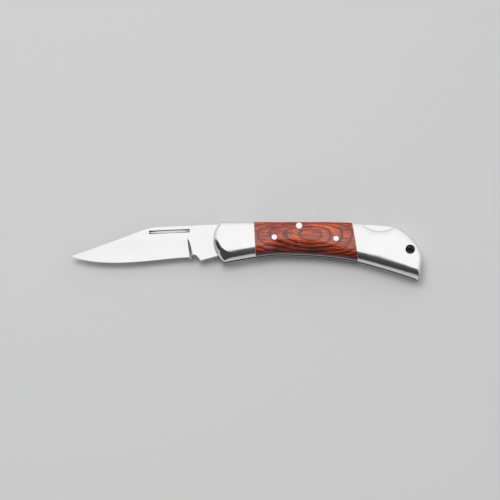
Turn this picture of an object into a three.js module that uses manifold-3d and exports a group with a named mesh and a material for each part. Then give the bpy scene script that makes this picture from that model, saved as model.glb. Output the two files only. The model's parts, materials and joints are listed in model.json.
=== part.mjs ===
import * as THREE from "three";
import { mergeVertices } from "three/addons/utils/BufferGeometryUtils.js";
import Module from "manifold-3d";

const wasm = await Module();
wasm.setup();

// A folding lockback pocket knife with its blade open, lying on its far side. Millimetres.
// X runs from the blade's point (-X) to the butt (+X), Y from the belly to the spine, Z up through the
// thickness. The origin lies on the blade's pivot axis, in the far side's outer face. A reach is a distance
// along X from the pivot, and a drop is a distance towards the belly.

// Stack of the handle, from one side to the other
const coverThickness = 3.75; // bolsters and scales
const linerThickness = 1;
const bladeThickness = 2.4;
const sideClearance = 0.05; // on each side of the blade and the lock bar

// Blade
const bladeReach = 81.6; // pivot to point
const tipDrop = 5.78;
const spineHeight = 10.55; // spine above the pivot, at the bolsters
const shoulderReach = 38; // where the clip begins
const tangDrop = 0.28; // fall of the spine from the lock bar to the bolsters' front
const shoulderDrop = 1.35; // and from there to the clip
const clipBlend = 8; // length of the rounded shoulder
const clipBlendDrop = 1.75;
const clipHollow = 0.3;
const bellyDrop = 9.1; // lowest point of the cutting edge
const bellyFromTip = 21.6;
const heelReach = 21.7; // spur at the rear end of the cutting edge
const heelDrop = 7.4;
const heelLength = 0.45; // spur to the end of the cutting edge
const edgeEndDrop = 6.3;
const edgeThickness = 0.06;
const edgeBevelWidth = 0.45; // sharpened strip along the edge
const edgeBevelThickness = 0.2; // blade's thickness where that strip begins
const grindDepth = 6.4; // flat part below the spine, down to the grind line
const grindHollow = 1.25; // 1 is a flat grind, more is a hollow one
const plungeSlant = 1.25; // rearward lean from the grind line to the edge
const plungeWidth = 1.8;
const plungeFullness = 0.4; // 1 widens evenly towards the edge, less widens early
const nailMarkLength = 20.3;
const nailMarkWidth = 1.7;
const nailMarkDepth = 0.45;
const nailMarkWall = 0.3; // width of its sloping walls
const nailMarkReach = 22.2;
const nailMarkInset = 1.7; // below the spine

// Tang, pivot and lock
const closedAngle = THREE.MathUtils.degToRad(177);
const pivotRadius = 2;
const hubRadius = 5.25;
const tangLevel = 8; // reach from which the spine falls more
const lockFaceX = 3.5; // tang shoulder that the lock bar's front end meets
const lockFaceGap = 0.3;
const runningGap = 0.35; // between the tooth and the turning tang
const toothLength = 4;
const lockBarDepth = 3.2;
const tailDepth = 2.7;
const tailDrop = 1.45; // fall of the lock bar's top from the spine to its rear end
const tailSlopeLength = 24;
const tailGap = 0.5; // between the lock bar's rear end and the spacer
const lockPinX = 32.5;
const lockPinDrop = 2; // below the spine
const lockPinRadius = 1.1;
const lockPinHeadRadius = 1.6;
const lockBossRadius = 2.6;
const kickReach = 17.35; // from the pivot when the knife is closed
const kickGap = 0.15; // under the lock bar when the knife is closed
const kickWidth = 0.6;
const choilWidth = 3.2;
const choilDepth = 2.3; // above the spur's point
const choilRadius = 1.2;

// Handle outline
const frontReach = 10.2;
const frontTopReach = 7.2;
const frontDrop = 9;
const waistX = 30;
const waistDrop = 5.2;
const buttDrop = 18.2;
const tipGap = 0.5; // between the closed blade's point and the spacer
const spacerLength = 11.3; // spacer front to butt
const spacerRecess = 0.8; // behind the belly line of the liners
const shoulderOfTop = 38.3; // from the spacer forward to where the top edge starts to fall
const crescentRadius = 12;
const crescentForward = 9.4;
const crescentRise = 7.3; // centre above the spine

// Rounded edges of the covers
const bellyRoundWidth = 5.25;
const bellyRoundHeight = 3.3;
const bellyShoulder = 68; // degrees of arc, where less than 90 leaves a crisp line against the flat face
const cornerRoundWidth = 6.6; // where the belly meets the front
const swellRoundWidth = 1; // what the rounding gains on the rear bolster
const swellX = 72.5;
const swellSpread = 7;
const buttTaper = 0.9; // what the rounding loses at the butt
const frontRoundWidth = 4.9;
const frontRoundTop = 1.2; // width and height at the top of the front
const topRoundWidth = 2.6; // on the front bolster
const topRoundRear = 4.4; // on the rear bolster
const topRoundHeight = 0.9;
const buttRoundWidth = 2.2;
const buttRoundHeight = 1.6;

// Seams and fasteners
const seamGap = 0.1;
const fitGap = 0.1; // round every pin, in radius and at its ends
const frontSeamX = 10.5;
const frontSeamSlant = 0.05; // X per unit of drop
const rearSeamInset = 21.6; // forward of the spacer, at pivot height
const scaleRivetRadius = 1.4;
const scaleRivetShank = 1;
const scaleRivetY = 2.7;
const frontRivetInset = 9.6; // from the front seam
const rearRivetInset = 9.8; // from the rear seam
const hiddenPinRadius = 1.1;
const hiddenPinSkin = 0.5; // bolster left over a hidden pin's end
const bolsterRivetX = 5.4;
const bolsterRivetDrop = 4.4; // below the spine
const lanyardRadius = 2.4;
const lanyardInset = 5.8; // hole centre from the butt
const lanyardDrop = 3.55;

// Leaf spring under the lock bar's tail
const springThickness = 0.7;
const springReach = 5.2; // forward of the spacer's front
const springRoot = 4.1; // depth in the spacer
const springGap = 0.3;
const springFall = 3.1;
const springSteps = 12;

// Mesh fineness
const curveSteps = 14;
const arcSteps = 8;
const pinSides = 24;
const holeSides = 30;
const crescentSides = 64;

// Levels through the stack
const channelWidth = bladeThickness + 2 * sideClearance;
const farLinerZ = coverThickness;
const channelZ = farLinerZ + linerThickness;
const nearLinerZ = channelZ + channelWidth;
const nearCoverZ = nearLinerZ + linerThickness;
const topZ = nearCoverZ + coverThickness;
const bladeZ = channelZ + sideClearance;
const past = 1; // how far a cutter runs past what it cuts

const xy = (x, y) => new THREE.Vector2(x, y);
const xyz = (x, y, z) => new THREE.Vector3(x, y, z);
const turn = (point, angle) => point.clone().rotateAround(xy(0, 0), angle);

// Closed body from a point list and faces, turned inside out when its volume comes out negative
function body(points, faces) {
  let volume = 0;
  for (const [a, b, c] of faces) volume += points[a].dot(points[b].clone().cross(points[c]));
  const outward = volume < 0 ? faces.map(([a, b, c]) => [c, b, a]) : faces;
  const geometry = new THREE.BufferGeometry();
  const positions = points.flatMap((p) => [p.x, p.y, p.z]);
  geometry.setAttribute("position", new THREE.Float32BufferAttribute(positions, 3));
  geometry.setIndex(outward.flat());
  return geometry;
}

// Loft through loops of equal length; flat is the first loop in its own plane, for the end caps
function loft(sections, flat) {
  const count = flat.length;
  const faces = [];
  for (let s = 0; s < sections.length - 1; s++) {
    for (let k = 0; k < count; k++) {
      const a = s * count + k;
      const b = s * count + ((k + 1) % count);
      faces.push([a, b, a + count], [b, b + count, a + count]);
    }
  }
  const wound = THREE.ShapeUtils.area(flat) > 0;
  const last = (sections.length - 1) * count;
  for (const [a, b, c] of THREE.ShapeUtils.triangulateShape(flat, [])) {
    const same = THREE.ShapeUtils.area([flat[a], flat[b], flat[c]]) > 0 === wound;
    const [p, q, r] = same ? [a, b, c] : [c, b, a];
    faces.push([r, q, p], [last + p, last + q, last + r]);
  }
  return body(sections.flat(), faces);
}

function plate(shape, z, thickness, steps = curveSteps) {
  const options = { depth: thickness, bevelEnabled: false, curveSegments: steps };
  return new THREE.ExtrudeGeometry(shape, options).translate(0, 0, z);
}

function disc(centre, radius, z, height, sides = pinSides) {
  const geometry = new THREE.CylinderGeometry(radius, radius, height, sides);
  return geometry.rotateX(Math.PI / 2).translate(centre.x, centre.y, z + height / 2);
}

// Round body about an upright axis, from [radius, z] pairs that start and end on the axis
function turned(profile) {
  const geometry = new THREE.LatheGeometry(profile.map(([r, z]) => xy(r, z)), pinSides);
  return welded(geometry.rotateX(Math.PI / 2));
}

// Closed geometry whose faces share their corners and face out; place, when given, maps each corner first
function welded(geometry, place = (p) => p) {
  const bare = new THREE.BufferGeometry();
  bare.setAttribute("position", geometry.getAttribute("position"));
  if (geometry.index) bare.setIndex(geometry.index);
  const merged = mergeVertices(bare, 1e-4);
  const position = merged.getAttribute("position");
  const points = [];
  for (let i = 0; i < position.count; i++) {
    points.push(place(new THREE.Vector3().fromBufferAttribute(position, i)));
  }
  const corners = merged.index.array;
  const faces = [];
  for (let i = 0; i < corners.length; i += 3) {
    const [a, b, c] = [corners[i], corners[i + 1], corners[i + 2]];
    if (a !== b && b !== c && c !== a) faces.push([a, b, c]);
  }
  return body(points, faces);
}

function toSolid(geometry) {
  const closed = welded(geometry);
  return new wasm.Manifold(
    new wasm.Mesh({
      numProp: 3,
      vertProperties: closed.getAttribute("position").array,
      triVerts: Uint32Array.from(closed.index.array),
    }),
  );
}

function fromSolid(solid) {
  const mesh = solid.getMesh();
  const geometry = new THREE.BufferGeometry();
  geometry.setAttribute("position", new THREE.Float32BufferAttribute(mesh.vertProperties, 3));
  geometry.setIndex(Array.from(mesh.triVerts));
  return geometry;
}

function cut(geometry, ...cutters) {
  return fromSolid(cutters.reduce((solid, cutter) => solid.subtract(toSolid(cutter)), toSolid(geometry)));
}

function common(geometry, other) {
  return fromSolid(toSolid(geometry).intersect(toSolid(other)));
}

// The same piece on the other side of the knife
const mirrored = (geometry) => welded(geometry, (p) => xyz(p.x, p.y, topZ - p.z));

// Places that several pieces share
const pivot = xy(0, 0);
const tip = xy(-bladeReach, -tipDrop);
const tipRadius = tip.length();
const spacerX = tipRadius + tipGap;
const buttX = spacerX + spacerLength;
const lockPin = xy(lockPinX, spineHeight - lockPinDrop);
const lockUnder = spineHeight - lockBarDepth;
const lanyard = xy(buttX - lanyardInset, -lanyardDrop);
const frontSeamAt = (y) => frontSeamX - y * frontSeamSlant;
const rearSeamX = spacerX - rearSeamInset;
const frontRivet = xy(frontSeamX + frontRivetInset, scaleRivetY);
const rearRivet = xy(rearSeamX - rearRivetInset, scaleRivetY - 0.7);
const bolsterRivet = xy(bolsterRivetX, spineHeight - bolsterRivetDrop);
const rearPins = [xy(spacerX + 2.6, -0.6), xy(buttX - 5.4, -buttDrop + 6.2)];
const tailEndX = spacerX - 1.5 - tailGap;

// Handle outline, clockwise from the front of the top edge
const topFront = xy(-frontTopReach + 1, spineHeight);
const topShoulder = xy(spacerX - shoulderOfTop, spineHeight);
const topEnd = xy(spacerX - 2.8, spineHeight - 2.05);
const topFall = new THREE.CubicBezierCurve(
  topShoulder,
  xy(topShoulder.x + 12, spineHeight),
  xy(topEnd.x - 9.5, topEnd.y + 1.2),
  topEnd,
);
const buttMiddle = xy(buttX, -8);
const buttUpper = new THREE.CubicBezierCurve(
  topEnd,
  xy(topEnd.x + 6, topEnd.y - 1.9),
  xy(buttX + 0.3, -1),
  buttMiddle,
);
const buttCorner = xy(buttX - 2, -buttDrop + 0.1);
const buttLower = new THREE.QuadraticBezierCurve(buttMiddle, xy(buttX - 0.4, -buttDrop + 4.2), buttCorner);
const bellyRearEnd = xy(buttX - 3, -buttDrop + 0.55);
const waist = xy(waistX, -waistDrop);
const bellySeam = xy(rearSeamX + 0.6, -waistDrop - 3.4);
const bellyRear = new THREE.CubicBezierCurve(
  bellyRearEnd,
  xy(bellyRearEnd.x - 8.6, bellyRearEnd.y + 3.15),
  xy(bellySeam.x + 12.7, bellySeam.y - 3.5),
  bellySeam,
);
const bellyMiddle = new THREE.CubicBezierCurve(
  bellySeam,
  xy(bellySeam.x - 6.3, bellySeam.y + 1.6),
  xy(waistX + 14, -waistDrop - 0.3),
  waist,
);
const bellyFrontEnd = xy(-3.8, -frontDrop + 0.1);
const bellyFront = new THREE.CubicBezierCurve(
  waist,
  xy(waistX - 10, -waistDrop + 0.8),
  xy(bellyFrontEnd.x + 14.8, bellyFrontEnd.y + 2.7),
  bellyFrontEnd,
);
const frontLow = xy(-5.2, -frontDrop + 0.2);
const frontHigh = xy(-frontTopReach, spineHeight - 0.7);
const front = new THREE.CubicBezierCurve(
  frontLow,
  xy(-frontReach + 0.8, -5.9),
  xy(-frontReach - 3, 3.2),
  frontHigh,
);

function handleShape() {
  const shape = new THREE.Shape();
  shape.moveTo(topFront.x, topFront.y);
  shape.lineTo(topShoulder.x, topShoulder.y);
  shape.curves.push(topFall, buttUpper, buttLower);
  shape.currentPoint.copy(buttCorner);
  shape.quadraticCurveTo(buttCorner.x - 0.3, buttCorner.y - 0.4, bellyRearEnd.x, bellyRearEnd.y);
  shape.curves.push(bellyRear, bellyMiddle, bellyFront);
  shape.currentPoint.copy(bellyFrontEnd);
  shape.quadraticCurveTo(bellyFrontEnd.x - 0.8, bellyFrontEnd.y - 0.35, frontLow.x, frontLow.y);
  shape.curves.push(front);
  shape.currentPoint.copy(frontHigh);
  shape.quadraticCurveTo(-frontTopReach + 0.3, spineHeight, topFront.x, topFront.y);
  return shape;
}

// What is taken off a cover's outer edge along a path that keeps the handle on its right: the space outside
// an arc of an ellipse. sizeAt gives its width and height at a point, and shoulder its extent in degrees: at
// 90 it meets the flat face smoothly.
function edgeCutter(path, sizeAt, shoulder = 90) {
  const overrun = 6;
  const outside = -3;
  const extent = THREE.MathUtils.degToRad(shoulder);
  const end = path.length - 1;
  const first = path[0].clone().sub(path[1]).setLength(overrun).add(path[0]);
  const last = path[end].clone().sub(path[end - 1]).setLength(overrun).add(path[end]);
  const points = [first, ...path, last];
  const section = ([width, height]) => {
    const loop = [xy(outside, topZ + past), xy(outside, topZ - height)];
    for (let k = 0; k <= arcSteps; k++) {
      const angle = (k / arcSteps) * extent;
      const inward = (width * (1 - Math.cos(angle))) / (1 - Math.cos(extent));
      loop.push(xy(inward, topZ - height * (1 - Math.sin(angle) / Math.sin(extent))));
    }
    loop.push(xy(width, topZ + past));
    return loop;
  };
  const sizes = points.map((point, i) => {
    const on = THREE.MathUtils.clamp(i - 1, 0, end);
    return sizeAt(path[on], on / end);
  });
  const sections = points.map((point, i) => {
    const before = points[Math.max(i - 1, 0)];
    const after = points[Math.min(i + 1, points.length - 1)];
    const along = after.clone().sub(before).normalize();
    const inward = xy(along.y, -along.x);
    return section(sizes[i]).map((p) => xyz(point.x + inward.x * p.x, point.y + inward.y * p.x, p.y));
  });
  return loft(sections, section(sizes[0]));
}

// Sizes of those roundings
function bellySize(point) {
  const nearCorner = 1 - THREE.MathUtils.smoothstep(point.x, bellyFrontEnd.x, bellyFrontEnd.x + 9);
  const swell = swellRoundWidth * Math.exp(-(((point.x - swellX) / swellSpread) ** 2));
  const corner = (cornerRoundWidth - bellyRoundWidth) * nearCorner ** 4;
  const taper = buttTaper * THREE.MathUtils.smoothstep(point.x, bellyRearEnd.x - 4.5, bellyRearEnd.x);
  return [bellyRoundWidth + swell + corner - taper, bellyRoundHeight];
}

function frontSize(point, t) {
  const middle = frontRoundTop + (frontRoundWidth - frontRoundTop) * (1 - t);
  const width = middle + (cornerRoundWidth - frontRoundWidth) * (1 - t) ** 8;
  const rise = THREE.MathUtils.smoothstep(t, 0.15, 0.9);
  return [width, bellyRoundHeight + (frontRoundTop - bellyRoundHeight) * rise];
}

function topSize(point) {
  const rear = THREE.MathUtils.smoothstep(point.x, rearSeamX - 20, rearSeamX + 4);
  return [topRoundWidth + (topRoundRear - topRoundWidth) * rear, topRoundHeight];
}

function buttSize(point, t) {
  const low = THREE.MathUtils.smoothstep(t, 0, 0.6);
  const width = topRoundRear + (buttRoundWidth - topRoundRear) * low;
  return [width, topRoundHeight + (buttRoundHeight - topRoundHeight) * low];
}

const join = (...curves) => curves.flatMap((curve, i) => curve.getPoints(curveSteps).slice(i ? 1 : 0));

// Thumb crescent in the top edge, over the lock bar's tail, and its rim from front to rear
const crescentAt = xy(spacerX - crescentForward, spineHeight + crescentRise);
const crescent = () => disc(crescentAt, crescentRadius, -past, topZ + 2 * past, crescentSides);

function crescentRim() {
  const half = Math.acos(crescentRise / crescentRadius);
  const steps = 2 * curveSteps;
  return Array.from({ length: steps + 1 }, (_, i) => {
    const angle = -Math.PI / 2 - half + (2 * half * i) / steps;
    return xy(crescentRadius * Math.cos(angle), crescentRadius * Math.sin(angle)).add(crescentAt);
  });
}

// Near cover in one piece, before the seams part it into bolsters and scale
function cover() {
  const bottom = nearCoverZ - past;
  const through = (at, radius, sides) => disc(at, radius, bottom, coverThickness + 2 * past, sides);
  const blind = (at, radius) => disc(at, radius, bottom, coverThickness + past - hiddenPinSkin);
  const rounded = cut(
    plate(handleShape(), nearCoverZ, coverThickness),
    edgeCutter(join(bellyRear, bellyMiddle, bellyFront), bellySize, bellyShoulder),
    edgeCutter(join(front), frontSize, bellyShoulder),
    edgeCutter([xy(-frontTopReach, spineHeight), ...join(topFall)], topSize),
    edgeCutter(join(buttUpper, buttLower), buttSize),
    crescent(),
    edgeCutter(crescentRim(), () => [topRoundRear, topRoundHeight]),
  );
  return cut(
    rounded,
    blind(pivot, pivotRadius + fitGap),
    blind(bolsterRivet, hiddenPinRadius + fitGap),
    ...rearPins.map((at) => blind(at, hiddenPinRadius + fitGap)),
    through(lockPin, lockPinHeadRadius + fitGap),
    through(frontRivet, scaleRivetRadius + fitGap),
    through(rearRivet, scaleRivetRadius + fitGap),
    through(lanyard, lanyardRadius, holeSides),
  );
}

// Block that holds the cover between two seams, each a line from the top to the belly
function between(left, right) {
  const shape = new THREE.Shape([...left, ...right.toReversed()]);
  return plate(shape, nearCoverZ - past, coverThickness + 2 * past);
}

function seamLines() {
  const high = spineHeight + 4;
  const low = -buttDrop - 4;
  const frontLine = (shift) => [xy(frontSeamAt(high) + shift, high), xy(frontSeamAt(low) + shift, low)];
  const rearLine = (shift) =>
    new THREE.QuadraticBezierCurve(
      xy(rearSeamX - 2.75 + shift, high),
      xy(rearSeamX + 0.6 + shift, -0.3),
      xy(rearSeamX + 2.3 + shift, low),
    ).getPoints(curveSteps);
  const farLeft = [xy(-20, high), xy(-20, low)];
  const farRight = [xy(buttX + 10, high), xy(buttX + 10, low)];
  const half = seamGap / 2;
  return {
    front_bolster: [farLeft, frontLine(-half)],
    scale: [frontLine(half), rearLine(-half)],
    rear_bolster: [rearLine(half), farRight],
  };
}

function liner() {
  const bottom = nearLinerZ - past;
  const through = (at, radius, sides) => disc(at, radius, bottom, linerThickness + 2 * past, sides);
  return cut(
    plate(handleShape(), nearLinerZ, linerThickness),
    crescent(),
    through(pivot, pivotRadius + fitGap),
    through(bolsterRivet, hiddenPinRadius + fitGap),
    through(lockPin, lockPinRadius + fitGap),
    through(frontRivet, scaleRivetShank + fitGap),
    through(rearRivet, scaleRivetShank + fitGap),
    through(lanyard, lanyardRadius, holeSides),
    ...rearPins.map((at) => through(at, hiddenPinRadius + fitGap)),
  );
}

// Blade
const spineAt = (x) => {
  const tangRun = (lockFaceX - x) / (lockFaceX + tangLevel);
  const run = (-x - tangLevel) / (shoulderReach - tangLevel);
  return spineHeight - tangDrop * Math.min(tangRun, 1) - shoulderDrop * Math.max(run, 0);
};
const low = xy(-bladeReach + bellyFromTip, -bellyDrop);
const edgeEnd = xy(-heelReach - heelLength, -edgeEndDrop);
const edgeFront = new THREE.QuadraticBezierCurve(tip, xy(-bladeReach + 8.1, -bellyDrop), low);
const edgeRear = new THREE.CubicBezierCurve(
  low,
  xy(low.x + 14, low.y - 0.07),
  xy(edgeEnd.x - 10.1, edgeEnd.y - 0.25),
  edgeEnd,
);
const kickClosed = xy(kickReach, lockUnder - kickGap);
const kick = turn(kickClosed, -closedAngle);
const tangJoin = turn(xy(hubRadius, 0), THREE.MathUtils.degToRad(235));

function bladeShape() {
  const clipEnd = xy(-shoulderReach, spineAt(-shoulderReach));
  const clipTop = xy(-shoulderReach - clipBlend, clipEnd.y - clipBlendDrop);
  const clipMiddle = clipTop.clone().add(tip).multiplyScalar(0.5);
  const choilTop = -heelDrop + choilDepth;
  const shape = new THREE.Shape();
  shape.moveTo(lockFaceX, spineHeight);
  shape.lineTo(-tangLevel, spineAt(-tangLevel));
  shape.lineTo(clipEnd.x, clipEnd.y);
  shape.quadraticCurveTo(clipEnd.x - clipBlend / 2, clipEnd.y - 0.15, clipTop.x, clipTop.y);
  shape.quadraticCurveTo(clipMiddle.x, clipMiddle.y - 2 * clipHollow, tip.x, tip.y);
  shape.curves.push(edgeFront, edgeRear);
  shape.currentPoint.copy(edgeEnd);
  shape.lineTo(-heelReach, -heelDrop);
  shape.lineTo(-heelReach + 0.85, choilTop - 0.6);
  shape.quadraticCurveTo(-heelReach + 1.1, choilTop, -heelReach + 1.1 + choilRadius / 2, choilTop);
  shape.quadraticCurveTo(-heelReach + choilWidth - 0.4, choilTop, kick.x - 0.35, kick.y + 0.9);
  shape.quadraticCurveTo(kick.x, kick.y - 0.1, kick.x + kickWidth, kick.y + 0.1);
  shape.lineTo(tangJoin.x, tangJoin.y);
  const from = Math.atan2(tangJoin.y, tangJoin.x);
  const to = Math.acos(lockFaceX / hubRadius);
  shape.absarc(0, 0, hubRadius, from, to, false);
  shape.closePath();
  return shape;
}

// Space above the near bevel: hollow from the grind line down, then the narrow sharpened strip, with the
// plunge as a steep face at its rear end. Each column of points goes from the grind line over the edge and
// back outside.
function bevelCutter() {
  const rows = 5;
  const sliver = 0.05; // how far the plunge runs past the flat face
  const half = bladeThickness / 2;
  const middle = bladeZ + half;
  const hollowAt = (u) => edgeBevelThickness / 2 + (half - edgeBevelThickness / 2) * u ** grindHollow;
  const stripSlope = (edgeBevelThickness - edgeThickness) / 2 / edgeBevelWidth;
  const column = (edge, shiftAt, depthShare) => {
    const top = spineAt(edge.x) - grindDepth;
    const strip = edge.y + edgeBevelWidth;
    const heights = Array.from({ length: rows + 1 }, (_, k) => top + ((strip - top) * k) / rows);
    const surface = heights.map((y) => [y, hollowAt(Math.max((y - strip) / (top - strip), 0))]);
    surface.push([edge.y - edgeBevelWidth, edgeThickness / 2 - edgeBevelWidth * stripSlope]);
    const loop = surface.map(([y, z]) => {
      const share = (top - y) / (top - edge.y);
      return xyz(edge.x + shiftAt(share), y, middle + half + (z - half) * depthShare);
    });
    loop[0].z += 0.005;
    const end = loop.at(-1);
    loop.push(xyz(end.x, end.y, middle + half + past), xyz(loop[0].x, top, middle + half + past));
    return loop;
  };
  const beforeTip = xy(-bladeReach - 2, -tipDrop + 0.8);
  const edgePoints = [beforeTip, ...join(edgeFront, edgeRear)];
  const columns = edgePoints.slice(0, -1).map((edge) => column(edge, () => 0, 1));
  columns.push(column(edgeEnd, (share) => plungeSlant * (share - 1), 1));
  const spread = (share) => plungeSlant * (share - 1) + plungeWidth * Math.max(share, 0) ** plungeFullness;
  columns.push(column(edgeEnd, (share) => spread(share) + sliver, -sliver));
  return loft(columns, columns[0].map((p) => xy(p.y, p.z)));
}

// Long pull on the near side: a shallow pocket with sloping walls and a floor that narrows towards its ends
function nailMarkCutter() {
  const steps = 6;
  const half = nailMarkWidth / 2;
  const rim = [];
  const floor = [];
  for (const side of [-1, 1]) {
    for (let k = 0; k <= steps; k++) {
      const u = (side * (2 * k - steps)) / steps;
      const narrowing = 0.35 + 0.65 * Math.sqrt(1 - u ** 2);
      rim.push(xy((u * nailMarkLength) / 2, side * half));
      floor.push(xy(u * (nailMarkLength / 2 - nailMarkWall), side * (half - nailMarkWall) * narrowing));
    }
  }
  const at = (loop, z) => loop.map((p) => xyz(p.x, p.y, z));
  const middle = -nailMarkReach - nailMarkLength / 2;
  const slope = Math.atan(shoulderDrop / (shoulderReach - tangLevel));
  return loft([at(floor, -nailMarkDepth), at(rim, 0), at(rim, past)], floor)
    .rotateZ(slope)
    .translate(middle, spineAt(middle) - nailMarkInset - half, bladeZ + bladeThickness);
}

function blade() {
  const bevel = bevelCutter();
  return cut(
    plate(bladeShape(), bladeZ, bladeThickness),
    bevel,
    mirrored(bevel),
    nailMarkCutter(),
    disc(pivot, pivotRadius + fitGap, bladeZ - past, bladeThickness + 2 * past),
  );
}

// Lock bar: tooth behind the tang's shoulder, boss round its pin, tail in the thumb crescent
function lockBar() {
  const frontX = lockFaceX + lockFaceGap;
  const toothEndX = frontX + toothLength;
  const tangJoinClosed = turn(tangJoin, closedAngle);
  const slope = (kickClosed.y - tangJoinClosed.y) / (kickClosed.x - tangJoinClosed.x);
  const toothAt = (x) => tangJoinClosed.y + slope * (x - tangJoinClosed.x) + runningGap;
  const slopeX = tailEndX - tailSlopeLength;
  const tailTopY = spineHeight - tailDrop;
  const tailUnderY = tailTopY - tailDepth;
  const bossHalf = Math.sqrt(lockBossRadius ** 2 - (lockPin.y - lockUnder) ** 2);
  const bossAngle = Math.atan2(lockUnder - lockPin.y, bossHalf);
  const shape = new THREE.Shape();
  shape.moveTo(frontX, spineHeight);
  shape.lineTo(slopeX, spineHeight);
  shape.quadraticCurveTo(slopeX + 8, spineHeight, tailEndX, tailTopY);
  shape.lineTo(tailEndX, tailUnderY + 0.6);
  shape.quadraticCurveTo(tailEndX, tailUnderY, tailEndX - 0.8, tailUnderY + 0.04);
  shape.quadraticCurveTo(tailEndX - 14, lockUnder - 0.2, slopeX - 4, lockUnder);
  shape.lineTo(lockPin.x + bossHalf, lockUnder);
  shape.absarc(lockPin.x, lockPin.y, lockBossRadius, bossAngle, -Math.PI - bossAngle, true);
  shape.lineTo(toothEndX + 0.7, lockUnder);
  shape.quadraticCurveTo(toothEndX, lockUnder, toothEndX, lockUnder - 0.7);
  shape.lineTo(toothEndX, toothAt(toothEndX));
  shape.lineTo(frontX + 0.3, toothAt(frontX + 0.3));
  shape.lineTo(frontX, toothAt(frontX) + 0.25);
  shape.closePath();
  return cut(
    plate(shape, bladeZ, bladeThickness, 12),
    disc(lockPin, lockPinRadius + fitGap, bladeZ - past, bladeThickness + 2 * past),
  );
}

// Leaf spring: a bowed strip from its slot in the spacer up to the underside of the lock bar's tail
const springTip = xy(spacerX - springReach, spineHeight - tailDrop - tailDepth - springGap - springThickness);
const springEnd = xy(spacerX + springRoot, springTip.y - springFall);
const springLine = new THREE.QuadraticBezierCurve(
  springTip,
  xy(springTip.x + 3.4, springTip.y - 1.5),
  springEnd,
);

function strip(curve, thickness, steps) {
  const upper = [];
  const lower = [];
  for (let i = 0; i <= steps; i++) {
    const point = curve.getPoint(i / steps);
    const along = curve.getTangent(i / steps);
    const across = xy(-along.y, along.x).multiplyScalar(thickness / 2);
    upper.push(point.clone().add(across));
    lower.push(point.clone().sub(across));
  }
  return new THREE.Shape([...upper, ...lower.toReversed()]);
}

const springStrip = () => plate(strip(springLine, springThickness, springSteps), bladeZ, bladeThickness);

function rearSpacer() {
  const start = Math.atan2(1, spacerX);
  const bellyAngle = -Math.atan2(buttDrop - 0.4, spacerX);
  const front = new THREE.Shape();
  front.moveTo(tailEndX + tailGap, spineHeight);
  front.lineTo(tailEndX + tailGap, 2.9);
  front.lineTo(spacerX * Math.cos(start), 1.8);
  front.absarc(0, 0, spacerX, start, bellyAngle, true);
  front.lineTo(buttX + 5, -buttDrop - 5);
  front.lineTo(buttX + 5, spineHeight);
  front.closePath();
  const bottom = channelZ - past;
  const height = channelWidth + 2 * past;
  const raised = plate(handleShape(), bottom, height).translate(0, spacerRecess, 0);
  const recessed = common(plate(handleShape(), channelZ, channelWidth), raised);
  return cut(
    common(recessed, plate(front, bottom, height)),
    plate(strip(springLine, springThickness + 2 * fitGap, springSteps), bottom, height),
    disc(lanyard, lanyardRadius, bottom, height, holeSides),
    ...rearPins.map((at) => disc(at, hiddenPinRadius + fitGap, bottom, height)),
  );
}

// Pins and rivets, each a turned piece about its own axis
const hiddenEnd = hiddenPinSkin + fitGap;
const straightPin = (radius, from, to) => turned([[0, from], [radius, from], [radius, to], [0, to]]);

const lockBarPin = () =>
  turned([
    [0, 0],
    [lockPinHeadRadius, 0],
    [lockPinHeadRadius, coverThickness - fitGap],
    [lockPinRadius, coverThickness - fitGap],
    [lockPinRadius, nearCoverZ + fitGap],
    [lockPinHeadRadius, nearCoverZ + fitGap],
    [lockPinHeadRadius, topZ],
    [0, topZ],
  ]);

const scaleRivet = () =>
  turned([
    [0, nearLinerZ + fitGap],
    [scaleRivetShank, nearLinerZ + fitGap],
    [scaleRivetShank, nearCoverZ + fitGap],
    [scaleRivetRadius, nearCoverZ + fitGap],
    [scaleRivetRadius, topZ],
    [0, topZ],
  ]);

// Materials
const metal = (color, roughness) => new THREE.MeshStandardMaterial({ color, roughness, metalness: 1 });
const bladeSteel = () => metal(0xdadcde, 0.28);
const bolsterSteel = () => metal(0xdfe0e2, 0.2);
const linerSteel = () => metal(0xb9bcc0, 0.32);
const pinSteel = () => metal(0xe6e7e9, 0.15);
const springSteel = () => metal(0x9a9da1, 0.35);
const wood = () => new THREE.MeshStandardMaterial({ color: 0xb4442a, roughness: 0.35, metalness: 0 });

const knife = new THREE.Group();
const handle = new THREE.Group();
const bladeGroup = new THREE.Group();
const lockGroup = new THREE.Group();
knife.add(handle, bladeGroup, lockGroup);

function add(group, name, geometry, material, at = pivot) {
  geometry.computeVertexNormals();
  const mesh = new THREE.Mesh(geometry, material);
  mesh.name = name;
  mesh.position.set(at.x, at.y, 0);
  group.add(mesh);
}

function addPair(name, geometry, material, at = pivot) {
  add(handle, `${name}_near`, geometry, material(), at);
  add(handle, `${name}_far`, mirrored(geometry), material(), at);
}

const seams = seamLines();
const nearCover = cover();
const coverPiece = (name) => common(nearCover, between(...seams[name]));

add(bladeGroup, "blade", blade(), bladeSteel());
add(lockGroup, "lock_bar", lockBar(), bladeSteel());
add(handle, "lock_spring", springStrip(), springSteel());
add(handle, "rear_spacer", rearSpacer(), linerSteel());
addPair("liner", liner(), linerSteel);
addPair("front_bolster", coverPiece("front_bolster"), bolsterSteel);
addPair("scale", coverPiece("scale"), wood);
addPair("rear_bolster", coverPiece("rear_bolster"), bolsterSteel);
add(handle, "pivot_pin", straightPin(pivotRadius, hiddenEnd, topZ - hiddenEnd), pinSteel());
add(handle, "lock_bar_pin", lockBarPin(), pinSteel(), lockPin);
addPair("scale_rivet_front", scaleRivet(), pinSteel, frontRivet);
addPair("scale_rivet_rear", scaleRivet(), pinSteel, rearRivet);
const bolsterRivetPin = straightPin(hiddenPinRadius, nearLinerZ + fitGap, topZ - hiddenEnd);
addPair("bolster_rivet", bolsterRivetPin, pinSteel, bolsterRivet);
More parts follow.
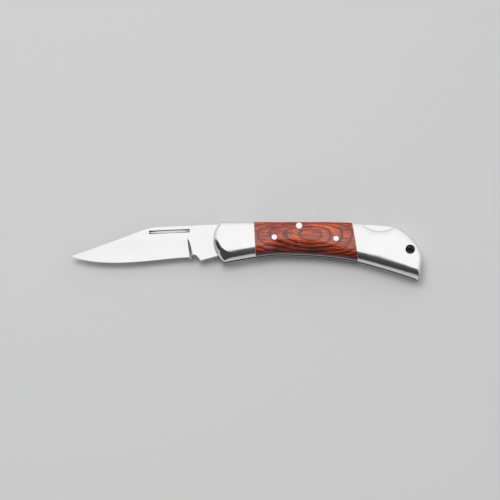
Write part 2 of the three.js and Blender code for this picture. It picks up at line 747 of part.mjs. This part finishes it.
rearPins.forEach((at, i) => {
  const name = ["rear_pin_upper", "rear_pin_lower"][i];
  add(handle, name, straightPin(hiddenPinRadius, hiddenEnd, topZ - hiddenEnd), pinSteel(), at);
});

export default knife;
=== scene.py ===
import json
import math

import bmesh
import bpy
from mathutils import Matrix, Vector

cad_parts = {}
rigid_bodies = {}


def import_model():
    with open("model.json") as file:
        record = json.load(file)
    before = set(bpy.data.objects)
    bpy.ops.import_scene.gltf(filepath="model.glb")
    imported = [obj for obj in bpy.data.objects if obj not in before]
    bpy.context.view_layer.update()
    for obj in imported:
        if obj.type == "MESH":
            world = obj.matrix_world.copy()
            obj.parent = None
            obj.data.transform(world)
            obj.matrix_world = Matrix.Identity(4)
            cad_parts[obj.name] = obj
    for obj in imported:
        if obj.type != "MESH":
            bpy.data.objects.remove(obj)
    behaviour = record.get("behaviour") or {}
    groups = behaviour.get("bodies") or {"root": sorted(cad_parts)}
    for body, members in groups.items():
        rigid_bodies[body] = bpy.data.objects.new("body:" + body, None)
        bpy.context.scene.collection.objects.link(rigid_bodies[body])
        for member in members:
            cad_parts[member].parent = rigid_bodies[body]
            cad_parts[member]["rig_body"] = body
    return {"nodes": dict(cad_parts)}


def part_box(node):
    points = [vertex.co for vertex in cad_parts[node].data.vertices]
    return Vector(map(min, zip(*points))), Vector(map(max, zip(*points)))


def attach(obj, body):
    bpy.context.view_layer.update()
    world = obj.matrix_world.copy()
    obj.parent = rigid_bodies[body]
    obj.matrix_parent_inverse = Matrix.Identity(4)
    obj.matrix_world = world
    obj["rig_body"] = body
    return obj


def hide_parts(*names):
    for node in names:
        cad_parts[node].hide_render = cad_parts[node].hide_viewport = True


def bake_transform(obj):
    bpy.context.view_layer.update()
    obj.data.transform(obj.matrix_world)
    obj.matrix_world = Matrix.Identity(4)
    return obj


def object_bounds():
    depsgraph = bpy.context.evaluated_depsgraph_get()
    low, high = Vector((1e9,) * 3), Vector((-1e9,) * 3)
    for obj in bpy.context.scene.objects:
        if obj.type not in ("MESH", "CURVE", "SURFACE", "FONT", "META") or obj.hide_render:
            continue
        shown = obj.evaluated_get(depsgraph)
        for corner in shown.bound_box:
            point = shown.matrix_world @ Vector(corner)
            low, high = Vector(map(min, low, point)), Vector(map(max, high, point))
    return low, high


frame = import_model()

CAD_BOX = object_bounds()

# Places on the knife are in mm from here on, and MM makes metres of them
MM = 0.001
MID_Z = (CAD_BOX[0].z + CAD_BOX[1].z) / 2 / MM  # the blade's middle plane
FACE_DEPTH = (CAD_BOX[1].z - CAD_BOX[0].z) / 2 / MM  # from there to the flat outer faces
BLADE_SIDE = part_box("blade")[1].z / MM

# The camera looks down on the near side from the belly's side
VIEW_ELEVATION = math.radians(77)
VIEW_DISTANCE = 1.7
VIEW_WIDTH = 0.25  # what the square frame spans at the knife
VIEW_CENTRE = Vector((8.0, -2.57, 6.0)) * MM
SENSOR = 36.0
CLIP_END = 20

# The studio, by direction. A height is a direction's Z: 0 at the horizon and 1 overhead.
# Of each pair, a change starts at the first number and is full at the second
WHITE = (1, 1, 1, 1)
STUDIO_GREY = (0.42, 0.42, 0.43, 1)
GREY_HEIGHTS = (0.97, 0.0)
DIM_HEIGHTS = (0.7, 0.45)  # the belly's side is grey from higher up
BELLY_SIDE = (0.13, 0.03)  # the direction's Y
ROOM_TOP = (0.985, 0.94)
ROOM_FOOT = (0.34, 0.48)
ROOM_CORNERS = 4.8  # raises the foot halfway between the knife's length and its belly's side
ROOM_FROM_FOOT = (0.04, 0.04, 0.042, 1)
ROOM_FROM_TOP = (0.07, 0.07, 0.072, 1)
ROOM_CHANGE = (0.72, 0.93)

LAMP_PLACE = Vector((-0.14, 0.26, 1.05))
LAMP_WIDTH = 0.5
LAMP_POWER = 5.4
FLOOR_WIDTH = 30
FLOOR_GREY = (0.6, 0.6, 0.6, 1)
FLOOR_ROUGHNESS = 0.9
FLOOR_SPECULAR = 0.2

# Steel: its cloudy polish
CLOUD_SCALE = (90, 90, 90)
CLOUD_RANGE = (0.3, 0.7)
CLOUD_SHADE = 0.97
ROUGHNESS_SWING = 0.04

# The wood's rings on each scale: their centre, their spacing, and how they crowd together
RING_CENTRE = (38.2, 3.8)
RING_STEP = 5.7  # along the knife
RING_SKEW = (0.0030, 0.0072)  # rings lie closer towards the butt: how much at the front, and behind
SKEW_CHANGE = (-18.0, -12.0)  # where one changes to the other, along the knife from the centre
RINGS_UP = (2.5, 1.35)  # to the first ring towards the spine, and how the others crowd there
RINGS_DOWN = (2.55, 0.95)  # the same towards the belly
CORE_RADIUS = 0.6  # in rings: the plain wood in the middle
FIRST_RING = 0.12
LAYER_PITCH = 1.5  # through the thickness
LAYER_DRIFT = 0.9  # in layers: how far they wander, and how far they ripple along the grain
LAYER_RIPPLE = 0.5

# Noise per metre along X, Y and Z. The grain runs along the knife
DRIFT_SCALE = (70, 130, 70)
RIPPLE_SCALE = (150, 1400, 500)
STREAK_SCALE = (140, 2100, 700)

# The rings' widths are shares of a layer
RING_WIDTH = 0.05
RING_SPREAD = 0.10  # wider by this for each layer below the face
RING_UNEVEN = 0.08  # wider by up to this where the wood drifts, and again where it is streaky
RING_EDGE = (0.09, -0.07)
FAINT_OFFSET = 0.36  # a faint line between two rings
FAINT_EDGE = (0.12, 0.0)
FAINT_STRENGTH = 0.45
RING_WEAR = (0.70, 0.40, 0.65, 0.97)  # from rippled to calm wood: how much of the ring shows

FLAME_LAYER = 2.5  # the orange flame lies between the second and third rings
FLAME_WIDTH = (0.5, 0.15)
FLAME_STRENGTH = 0.2
FLAME_ALONG = (37.0, 43.0)
FLAME_ACROSS = (4.5, 6.5)

DARK_WOOD = (0.36, 0.034, 0.009, 1)
LIGHT_WOOD = (0.49, 0.076, 0.020, 1)
BRIGHT_STREAK = (0.88, 0.120, 0.008, 1)
DARK_STREAK = (0.11, 0.013, 0.009, 1)
FAINT_LINE = (0.12, 0.018, 0.012, 1)
SIDE_SHADE = (0.36, 0.26, 0.22, 1)  # times the wood's colour on the ground sides
# Painted sheen: the veneer on the face is paler than on the ground sides
FACE_VENEER_SHEENED = (0.070, 0.026, 0.025, 1)
SIDE_VENEER = (0.008, 0.005, 0.006, 1)
LIGHT_DRIFT = (0.35, 0.65)  # noise at which each wood starts and is full
BRIGHT_STREAKS = (0.51, 0.69)
DARK_STREAKS = (0.49, 0.36)
SIDE_DEPTH = (0.0, 1.2)  # layers below the face at which each starts and is full
VENEER_DEPTH = (0.0, 0.3)
SHEEN_DEPTH = (0.1, 0.0)
SHEEN_ACROSS = (10.0, 3.0, 0.0, 0.04)  # painted sheen: the face is paler towards the belly
WOOD_BUMP = 2e-5

# How much of each sharp edge is broken
EDGE = 0.12 * MM
FINE_EDGE = 0.08 * MM
SPRING_EDGE = 0.06 * MM
BLADE_EDGE = 0.03 * MM
SHARP = 30.0  # degrees between two faces
BLADE_SHARP = 4.0
EDGE_STEPS = 2
FLAT_WEIGHT = 90  # how much the flat faces set the shading
MERGE_DISTANCE = 0.0005 * MM
FLAT_ANGLE = math.radians(0.4)  # faces that differ less are joined
CUT_TOLERANCE = 0.0001 * MM

# The front bolsters' lower front corner is ground to a cone, by narrow flats side by side
CONE_CENTRE = (-0.14, 8.3)
CONE_RADIUS = 12.35
CONE_LEAN = 26  # degrees, at the belly
CONE_TURNS = range(0, 49, 3)  # degrees from the belly towards the front
CONE_EASE = 16  # one degree less lean for each of these
CONE_SMOOTH = math.radians(6)  # the flats are shaded as one, and stay crisp against the rest
SAME_WAY = 0.9999  # two normals' product when they are one flat's

# The scales' belly edge is ground to a facet, wider between the bolsters than beside them
WAIST_WIDTH = 4.4
WAIST_GAIN = 2.8
WAIST_SLOPE = math.tan(math.radians(16))
WAIST_RISE = 0.24  # shares of the scale's length: where it is full, and where it narrows again
WAIST_FALL = (0.52, 0.45)
WAIST_CUTS = (1.0, 0.5)  # the spacing of its mesh along and across the knife
WAIST_ACROSS = (-10, 6)
LINER_SIDE = 2.35  # from the middle of the knife to just over the scales' inner faces

# The leaf spring's bend would run from this far inside the spacer to this far past the spring's
# tip; these ends are passed on but not used, and the spring is not bent
SPRING_BEND = (0.7, 1.5)

# Faces that get a material of their own: painted shade on the nail mark's walls, the lanyard hole's
# walls and the liners' faces beside the blade channel, and the nail mark's greyer floor
LANYARD_HOLE = (87.8, -3.55)
LANYARD_RADIUS = 2.6  # just over its own
NAIL_MARK = (-43, -21.5)  # along the knife
NAIL_MARK_FOOT = 5
NAIL_MARK_DEPTHS = (0.05, 0.6)
CHANNEL_SIDE = 1.5  # from the middle of the knife to just over the liners' inner faces
FLAT = 0.9  # a normal's Z on a flat face
UPRIGHT = 0.5  # and the most on a wall


def add_camera():
    data = bpy.data.cameras.new("camera")
    data.sensor_width = SENSOR
    data.lens = SENSOR / (VIEW_WIDTH / VIEW_DISTANCE)
    data.clip_end = CLIP_END
    camera = bpy.data.objects.new("camera", data)
    back = Vector((0, -math.cos(VIEW_ELEVATION), math.sin(VIEW_ELEVATION)))
    camera.location = VIEW_CENTRE + back * VIEW_DISTANCE
    camera.rotation_euler = (-back).to_track_quat("-Z", "Y").to_euler()
    bpy.context.scene.collection.objects.link(camera)
    bpy.context.scene.camera = camera


class Tree:
    """The nodes of a material or world. A value that is another node's output is linked."""

    def __init__(self, owner):
        owner.use_nodes = True
        self.tree = owner.node_tree
        self.tree.nodes.clear()

    def fill(self, socket, value):
        if isinstance(value, bpy.types.NodeSocket):
            self.tree.links.new(value, socket)
        else:
            socket.default_value = value

    def add(self, kind, inputs=None, **settings):
        node = self.tree.nodes.new(kind)
        for key, value in settings.items():
            setattr(node, key, value)
        for key, value in (inputs or {}).items():
            self.fill(node.inputs[key], value)
        return node

    def math(self, operation, a, b=0.0, c=0.0):
        return self.add("ShaderNodeMath", {0: a, 1: b, 2: c}, operation=operation).outputs[0]

    def mix(self, factor, a, b, blend="MIX"):
        inputs = {0: factor, 6: a, 7: b}
        return self.add("ShaderNodeMix", inputs, data_type="RGBA", blend_type=blend).outputs[2]

    def smooth(self, value, low, high, to_low=0.0, to_high=1.0):
        ends = {"From Min": low, "From Max": high, "To Min": to_low, "To Max": to_high}
        inputs = {"Value": value, **ends}
        return self.add("ShaderNodeMapRange", inputs, interpolation_type="SMOOTHSTEP").outputs[0]

    def place(self, scale):
        """The object's own coordinates in metres, times scale."""
        place = self.add("ShaderNodeTexCoord").outputs["Object"]
        return self.add("ShaderNodeMapping", {"Vector": place, "Scale": scale}).outputs[0]

    def noise(self, scale, detail=3.0, roughness=0.5):
        inputs = {"Vector": self.place(scale), "Scale": 1.0}
        inputs.update({"Detail": detail, "Roughness": roughness})
        return self.add("ShaderNodeTexNoise", inputs).outputs[0]

    def swing(self, noise, amount):
        """Noise that goes half the amount up and half of it down."""
        return self.math("MULTIPLY_ADD", noise, amount, -amount / 2)

    def bump(self, height, strength, distance):
        inputs = {"Height": height, "Strength": strength, "Distance": distance}
        return self.add("ShaderNodeBump", inputs).outputs[0]


def set_world():
    """A soft white studio, greyer near the horizon, with a dark room beyond the belly's side."""
    world = bpy.data.worlds.new("studio")
    bpy.context.scene.world = world
    t = Tree(world)
    direction = t.add("ShaderNodeTexCoord").outputs["Generated"]
    axes = t.add("ShaderNodeSeparateXYZ", {0: direction}).outputs
    ends = {"From Min": GREY_HEIGHTS[0], "From Max": GREY_HEIGHTS[1]}
    grey = t.add("ShaderNodeMapRange", {"Value": axes["Z"], **ends}).outputs[0]
    studio = t.mix(grey, WHITE, STUDIO_GREY)
    belly_side = t.smooth(axes["Y"], *BELLY_SIDE)
    below_top = t.smooth(axes["Z"], *ROOM_TOP)

    # The room's foot rises towards the butt's side and between the axes. 1.001 keeps flat above 0
    flat = t.math("SUBTRACT", 1.001, t.math("POWER", axes["Z"], 2.0))
    buttwards = t.math("POWER", t.math("MAXIMUM", axes["X"], 0.0), 2.0)
    height = t.math("SUBTRACT", axes["Z"], t.math("DIVIDE", buttwards, flat))
    across = t.math("DIVIDE", t.math("MULTIPLY", axes["X"], axes["Y"]), flat)
    between = t.math("POWER", t.math("ABSOLUTE", across), 4.0)
    height = t.math("MULTIPLY_ADD", between, -ROOM_CORNERS, height)
    above_foot = t.smooth(height, *ROOM_FOOT)

    in_room = t.math("MULTIPLY", t.math("MULTIPLY", belly_side, below_top), above_foot)
    dim = t.math("MULTIPLY", belly_side, t.smooth(axes["Z"], *DIM_HEIGHTS))
    studio = t.mix(dim, studio, STUDIO_GREY)
    room = t.mix(t.smooth(axes["Z"], *ROOM_CHANGE), ROOM_FROM_FOOT, ROOM_FROM_TOP)
    studio = t.mix(in_room, studio, room)
    camera_ray = t.add("ShaderNodeLightPath").outputs["Is Camera Ray"]
    seen = t.mix(camera_ray, studio, WHITE)
    background = t.add("ShaderNodeBackground", {"Color": seen, "Strength": 1.0})
    t.add("ShaderNodeOutputWorld", {"Surface": background.outputs[0]})


def add_lamp():
    data = bpy.data.lights.new("softbox", "AREA")
    data.shape = "DISK"
    data.size = LAMP_WIDTH
    data.energy = LAMP_POWER
    lamp = bpy.data.objects.new("softbox", data)
    lamp.location = LAMP_PLACE
    lamp.rotation_euler = (-LAMP_PLACE).to_track_quat("-Z", "Y").to_euler()
    lamp.visible_glossy = False
    bpy.context.scene.collection.objects.link(lamp)


def add_floor():
    material = bpy.data.materials.new("floor")
    t = Tree(material)
    shader = t.add("ShaderNodeBsdfPrincipled", {"Base Color": FLOOR_GREY})
    shader.inputs["Roughness"].default_value = FLOOR_ROUGHNESS
    shader.inputs["Specular IOR Level"].default_value = FLOOR_SPECULAR
    t.add("ShaderNodeOutputMaterial", {"Surface": shader.outputs[0]})
    bpy.ops.mesh.primitive_plane_add(size=FLOOR_WIDTH, location=(0, 0, CAD_BOX[0].z))
    floor = bpy.context.object
    floor.name = "floor"
    floor.data.materials.append(material)


def steel(name, colour, roughness, brush, depth):
    """Steel with fine lines along one direction, and a faint cloudy polish."""
    material = bpy.data.materials.new(name)
    t = Tree(material)
    lines = t.noise(brush, roughness=0.6)
    clouds = t.noise(CLOUD_SCALE)
    half = ROUGHNESS_SWING / 2
    rough = t.math("MULTIPLY_ADD", lines, ROUGHNESS_SWING, roughness - half)
    rough = t.math("MULTIPLY_ADD", clouds, ROUGHNESS_SWING, t.math("SUBTRACT", rough, half))
    shaded = (*[channel * CLOUD_SHADE for channel in colour], 1)
    tint = t.mix(t.smooth(clouds, *CLOUD_RANGE), shaded, (*colour, 1))
    look = {"Base Color": tint, "Metallic": 1.0, "Roughness": rough}
    shader = t.add("ShaderNodeBsdfPrincipled", {**look, "Normal": t.bump(lines, 1.0, depth)})
    t.add("ShaderNodeOutputMaterial", {"Surface": shader.outputs[0]})
    return material


def veneer_layers(t, axes, drift, ripple):
    """How many layers out from the middle a place lies, and how many below the face."""
    along = t.math("SUBTRACT", axes["X"], RING_CENTRE[0])
    skew = t.smooth(along, *SKEW_CHANGE, *RING_SKEW)
    along = t.math("MULTIPLY_ADD", t.math("POWER", along, 2.0), skew, along)
    up = t.math("DIVIDE", t.math("SUBTRACT", axes["Y"], RING_CENTRE[1]), RINGS_UP[0])
    down = t.math("DIVIDE", t.math("SUBTRACT", RING_CENTRE[1], axes["Y"]), RINGS_DOWN[0])
    up = t.math("POWER", t.math("MAXIMUM", up, 0.0), RINGS_UP[1])
    down = t.math("POWER", t.math("MAXIMUM", down, 0.0), RINGS_DOWN[1])
    across = t.math("ADD", up, down)
    along = t.math("DIVIDE", along, RING_STEP)
    squares = t.math("ADD", t.math("POWER", along, 2.0), t.math("POWER", across, 2.0))
    radius = t.math("MAXIMUM", t.math("SQRT", squares), CORE_RADIUS)

    height = t.math("ABSOLUTE", t.math("SUBTRACT", axes["Z"], MID_Z))
    sunk = t.math("DIVIDE", t.math("SUBTRACT", FACE_DEPTH, height), LAYER_PITCH)
    layer = t.math("SUBTRACT", t.math("ADD", radius, sunk), FIRST_RING)
    layer = t.math("ADD", layer, t.swing(drift, LAYER_DRIFT))
    return t.math("ADD", layer, t.swing(ripple, LAYER_RIPPLE)), sunk


def laminated_wood():
    """Red-orange laminate under a clear lacquer: its surface cuts thin dark veneers into rings."""
    material = bpy.data.materials.new("laminated wood")
    t = Tree(material)
    axes = t.add("ShaderNodeSeparateXYZ", {0: t.place((1 / MM, 1 / MM, 1 / MM))}).outputs
    drift = t.noise(DRIFT_SCALE, detail=1.5)
    ripple = t.noise(RIPPLE_SCALE, roughness=0.6)
    streaks = t.noise(STREAK_SCALE, roughness=0.7)
    layer, sunk = veneer_layers(t, axes, drift, ripple)

    width = t.math("MULTIPLY_ADD", sunk, RING_SPREAD, RING_WIDTH)
    width = t.math("MULTIPLY_ADD", drift, RING_UNEVEN, width)
    width = t.math("MULTIPLY_ADD", streaks, RING_UNEVEN, width)
    from_ring = t.math("PINGPONG", layer, 0.5)
    ring = t.smooth(t.math("SUBTRACT", from_ring, width), *RING_EDGE)
    ring = t.math("MULTIPLY", ring, t.smooth(ripple, *RING_WEAR))
    from_faint = t.math("PINGPONG", t.math("ADD", layer, FAINT_OFFSET), 0.5)
    faint = t.math("MULTIPLY", t.smooth(from_faint, *FAINT_EDGE), FAINT_STRENGTH)

    from_flame = t.math("ABSOLUTE", t.math("SUBTRACT", layer, FLAME_LAYER))
    flame = t.smooth(from_flame, *FLAME_WIDTH, 0.0, FLAME_STRENGTH)
    flame = t.math("MULTIPLY", flame, t.smooth(axes["X"], *FLAME_ALONG))
    flame = t.math("MULTIPLY", flame, t.smooth(axes["Y"], *FLAME_ACROSS))
    lively = t.math("ADD", streaks, flame)

    base = t.mix(t.smooth(drift, *LIGHT_DRIFT), DARK_WOOD, LIGHT_WOOD)
    base = t.mix(t.smooth(lively, *BRIGHT_STREAKS), base, BRIGHT_STREAK)
    base = t.mix(t.smooth(lively, *DARK_STREAKS), base, DARK_STREAK)
    base = t.mix(faint, base, FAINT_LINE)
    base = t.mix(t.smooth(sunk, *SIDE_DEPTH), base, SIDE_SHADE, "MULTIPLY")
    # The dark veneer, with painted sheen making it paler on the face than on the sides
    veneer = t.mix(t.smooth(sunk, *VENEER_DEPTH), FACE_VENEER_SHEENED, SIDE_VENEER)
    colour = t.mix(ring, base, veneer)
    # Painted sheen: a little white mixed into the face's colour, for the lacquer's haze
    painted_sheen = t.smooth(axes["Y"], *SHEEN_ACROSS)
    painted_sheen = t.math("MULTIPLY", t.smooth(sunk, *SHEEN_DEPTH), painted_sheen)
    colour = t.mix(painted_sheen, colour, WHITE)
    look = {"Base Color": colour, "Roughness": 0.4, "Normal": t.bump(streaks, 0.25, WOOD_BUMP)}
    shader = t.add("ShaderNodeBsdfPrincipled", look)
    shader.inputs["Specular IOR Level"].default_value = 0.15
    shader.inputs["Coat Weight"].default_value = 1.0
    shader.inputs["Coat Roughness"].default_value = 0.1
    t.add("ShaderNodeOutputMaterial", {"Surface": shader.outputs[0]})
    return material


def finished(node, material, sharp=SHARP, edge=EDGE, bends=None):
    """The CAD node's shape with its flat faces joined and its sharp edges broken.
    It rides on the node's body, or, given bends, stays fixed where it is; the two bodies' names and
    the bend's two ends in bends are not used."""
    limit = math.radians(sharp)
    mesh = frame["nodes"][node].data.copy()
    mesh.materials.clear()
    mesh.materials.append(material)
    bm = bmesh.new()
    bm.from_mesh(mesh)
    bmesh.ops.remove_doubles(bm, verts=bm.verts, dist=MERGE_DISTANCE)
    bmesh.ops.dissolve_limit(bm, angle_limit=FLAT_ANGLE, verts=bm.verts, edges=bm.edges)
    for line in bm.edges:
        line.smooth = line.calc_face_angle(0.0) < limit
    for face in bm.faces:
        face.smooth = True
        face.material_index = 0
    bm.to_mesh(mesh)
    bm.free()
    piece = bpy.data.objects.new(f"{node}_finished", mesh)
    bpy.context.scene.collection.objects.link(piece)
    broken = piece.modifiers.new("broken edges", "BEVEL")
    broken.limit_method = "ANGLE"
    broken.angle_limit = limit
    broken.width = edge
    broken.segments = EDGE_STEPS
    weighted = piece.modifiers.new("flat faces stay flat", "WEIGHTED_NORMAL")
    weighted.keep_sharp = True
    weighted.weight = FLAT_WEIGHT
    if bends:
        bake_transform(piece)
    else:
        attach(piece, frame["nodes"][node]["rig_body"])
    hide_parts(node)
    return piece


def paint(piece, material, chosen):
    """Gives material to the faces for which chosen(centre in mm, normal) holds."""
    piece.data.materials.append(material)
    for face in piece.data.polygons:
        if chosen(face.center / MM, face.normal):
            face.material_index = len(piece.data.materials) - 1


def in_nail_mark(at):
    above_foot = at.y > NAIL_MARK_FOOT
    sunk = NAIL_MARK_DEPTHS[0] < BLADE_SIDE - at.z < NAIL_MARK_DEPTHS[1]
    return NAIL_MARK[0] < at.x < NAIL_MARK[1] and above_foot and sunk


def in_lanyard_hole(at, normal):
    from_axis = math.hypot(at.x - LANYARD_HOLE[0], at.y - LANYARD_HOLE[1])
    return abs(normal.z) < UPRIGHT and from_axis < LANYARD_RADIUS


def beside_channel(at, normal):
    return abs(normal.z) > FLAT and abs(at.z - MID_Z) < CHANNEL_SIDE


def cut(bm, place, normal, **settings):
    """Cuts the mesh along a plane through a place in mm, and gives the new edges."""
    everything = bm.verts[:] + bm.edges[:] + bm.faces[:]
    plane = {"plane_co": place * MM, "plane_no": normal, "dist": CUT_TOLERANCE}
    result = bmesh.ops.bisect_plane(bm, geom=everything, **plane, **settings)
    return [item for item in result["geom_cut"] if isinstance(item, bmesh.types.BMEdge)]


def grind_corner(bolster):
    """Grinds a front bolster's lower front corner, which rounds the corner of its flat face."""
    side = 1 if bolster.data.vertices[0].co.z / MM > MID_Z else -1
    bm = bmesh.new()
    bm.from_mesh(bolster.data)
    ground = []
    for turn in CONE_TURNS:
        lean = math.radians(CONE_LEAN - turn / CONE_EASE)
        out = Vector((-math.sin(math.radians(turn)), -math.cos(math.radians(turn)), 0))
        place = Vector((*CONE_CENTRE, MID_Z + side * FACE_DEPTH)) + out * CONE_RADIUS
        normal = out * math.sin(lean) + Vector((0, 0, side)) * math.cos(lean)
        rim = cut(bm, place, normal, clear_outer=True)
        if rim:
            bmesh.ops.edgeloop_fill(bm, edges=rim, use_smooth=True)
            ground.append(normal)
    bmesh.ops.recalc_face_normals(bm, faces=bm.faces[:])
    for face in bm.faces:
        if any(face.normal.dot(normal) > SAME_WAY for normal in ground):
            for line in face.edges:
                line.smooth = line.calc_face_angle(0.0) < CONE_SMOOTH
    bm.to_mesh(bolster.data)
    bm.free()


def smoothstep(t):
    t = min(1, max(0, t))
    return t * t * (3 - 2 * t)


def belly_line(mesh):
    """The scale's belly edge beside the liner, as places along the knife."""
    places = set()
    for line in mesh.edges:
        ends = [mesh.vertices[index].co / MM for index in line.vertices]
        run = ends[1] - ends[0]
        inside = all(end.y < 0 and abs(end.z - MID_Z) < LINER_SIDE for end in ends)
        if inside and abs(run.x) > abs(run.y):
            places.update((round(end.x, 3), round(end.y, 3)) for end in ends)
    return sorted(places)


def grind_waist(scale):
    """Grinds the scale's belly edge back further than the bolsters', most of all between them."""
    mesh = scale.data
    line = belly_line(mesh)
    first, last = line[0][0], line[-1][0]

    def inwards(x, y):
        """How far a place on the face is from the belly edge."""
        for (x0, y0), (x1, y1) in zip(line, line[1:]):
            if x <= x1 or (x1, y1) == line[-1]:
                over = y - y0 - (y1 - y0) * (x - x0) / (x1 - x0)
                return over * (x1 - x0) / math.hypot(x1 - x0, y1 - y0)

    def depth(x, y):
        """How far below the face the ground facet lies there."""
        share = (x - first) / (last - first)
        gain = smoothstep(share / WAIST_RISE)
        gain *= 1 - smoothstep((share - WAIST_FALL[0]) / WAIST_FALL[1])
        return max(0, WAIST_WIDTH + WAIST_GAIN * gain - inwards(x, y)) * WAIST_SLOPE

    bm = bmesh.new()
    bm.from_mesh(mesh)
    spans = (((1, 0, 0), first, last), ((0, 1, 0), *WAIST_ACROSS))
    for (axis, low, high), step in zip(spans, WAIST_CUTS):
        at = low + step
        while at < high:
            cut(bm, Vector(axis) * at, Vector(axis))
            at += step
    for vertex in bm.verts:
        x, y, z = vertex.co / MM
        side = 1 if z > MID_Z else -1
        surface = FACE_DEPTH - depth(x, y)
        if abs(z - MID_Z) > surface:
            vertex.co.z = (MID_Z + side * surface) * MM
    bm.to_mesh(mesh)
    bm.free()


bpy.context.scene.view_settings.view_transform = "Standard"
add_camera()
set_world()
add_lamp()
add_floor()

# Each steel's colour, its roughness, its fine lines per metre along each axis, and their depth
BLADE_STEEL = steel("blade steel", (0.93, 0.93, 0.935), 0.2, (4000, 120, 4000), 1.5e-6)
BOLSTER_STEEL = steel("bolster steel", (0.94, 0.94, 0.942), 0.14, (150, 3500, 3500), 8e-7)
LINER_STEEL = steel("liner steel", (0.80, 0.80, 0.81), 0.3, (200, 4000, 4000), 2e-6)
SPRING_STEEL = steel("spring steel", (0.62, 0.62, 0.64), 0.36, (200, 4000, 4000), 2e-6)
PIN_STEEL = steel("pin steel", (0.95, 0.95, 0.952), 0.12, (2500, 2500, 300), 6e-7)
# Painted shade: nearly black steel for the nail mark's walls
MARK_WALL_SHADE = steel("recess walls painted shade", (0.11, 0.11, 0.115), 0.45, (3000, 3000, 3000), 2e-6)
# Painted shade: nearly black steel for the lanyard hole's walls and the liners' faces beside the
# blade channel
INSIDE_SHADE_STEEL = steel("inside painted shade", (0.13, 0.13, 0.135), 0.5, (2000, 2000, 2000), 2e-6)
MARK_FLOOR = steel("recess floor", (0.74, 0.74, 0.745), 0.3, (3000, 3000, 3000), 2e-6)
WOOD = laminated_wood()

blade = finished("blade", BLADE_STEEL, sharp=BLADE_SHARP, edge=BLADE_EDGE)
# Painted shade on the nail mark's walls
paint(blade, MARK_WALL_SHADE, lambda at, normal: in_nail_mark(at) and normal.z < FLAT)
paint(blade, MARK_FLOOR, lambda at, normal: in_nail_mark(at) and normal.z > FLAT)
finished("lock_bar", BLADE_STEEL)
spring_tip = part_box("lock_spring")[0]
held = Vector((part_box("rear_spacer")[0].x + SPRING_BEND[0] * MM, spring_tip.y, spring_tip.z))
free = spring_tip - Vector((SPRING_BEND[1] * MM, 0, 0))
finished("lock_spring", SPRING_STEEL, edge=SPRING_EDGE, bends=("handle", "lock_bar", held, free))
finished("rear_spacer", LINER_STEEL)
finished("lock_bar_pin", PIN_STEEL, edge=FINE_EDGE)
finished("pivot_pin", PIN_STEEL)
for end in ("upper", "lower"):
    finished(f"rear_pin_{end}", PIN_STEEL)
for side in ("near", "far"):
    liner = finished(f"liner_{side}", LINER_STEEL, edge=FINE_EDGE)
    # Painted shade on the liners' inner faces beside the blade channel
    paint(liner, INSIDE_SHADE_STEEL, beside_channel)
    grind_corner(finished(f"front_bolster_{side}", BOLSTER_STEEL))
    rear_bolster = finished(f"rear_bolster_{side}", BOLSTER_STEEL)
    # Painted shade on the lanyard hole's walls
    paint(rear_bolster, INSIDE_SHADE_STEEL, in_lanyard_hole)
    grind_waist(finished(f"scale_{side}", WOOD))
    finished(f"bolster_rivet_{side}", PIN_STEEL)
    for end in ("front", "rear"):
        finished(f"scale_rivet_{end}_{side}", PIN_STEEL, edge=FINE_EDGE)
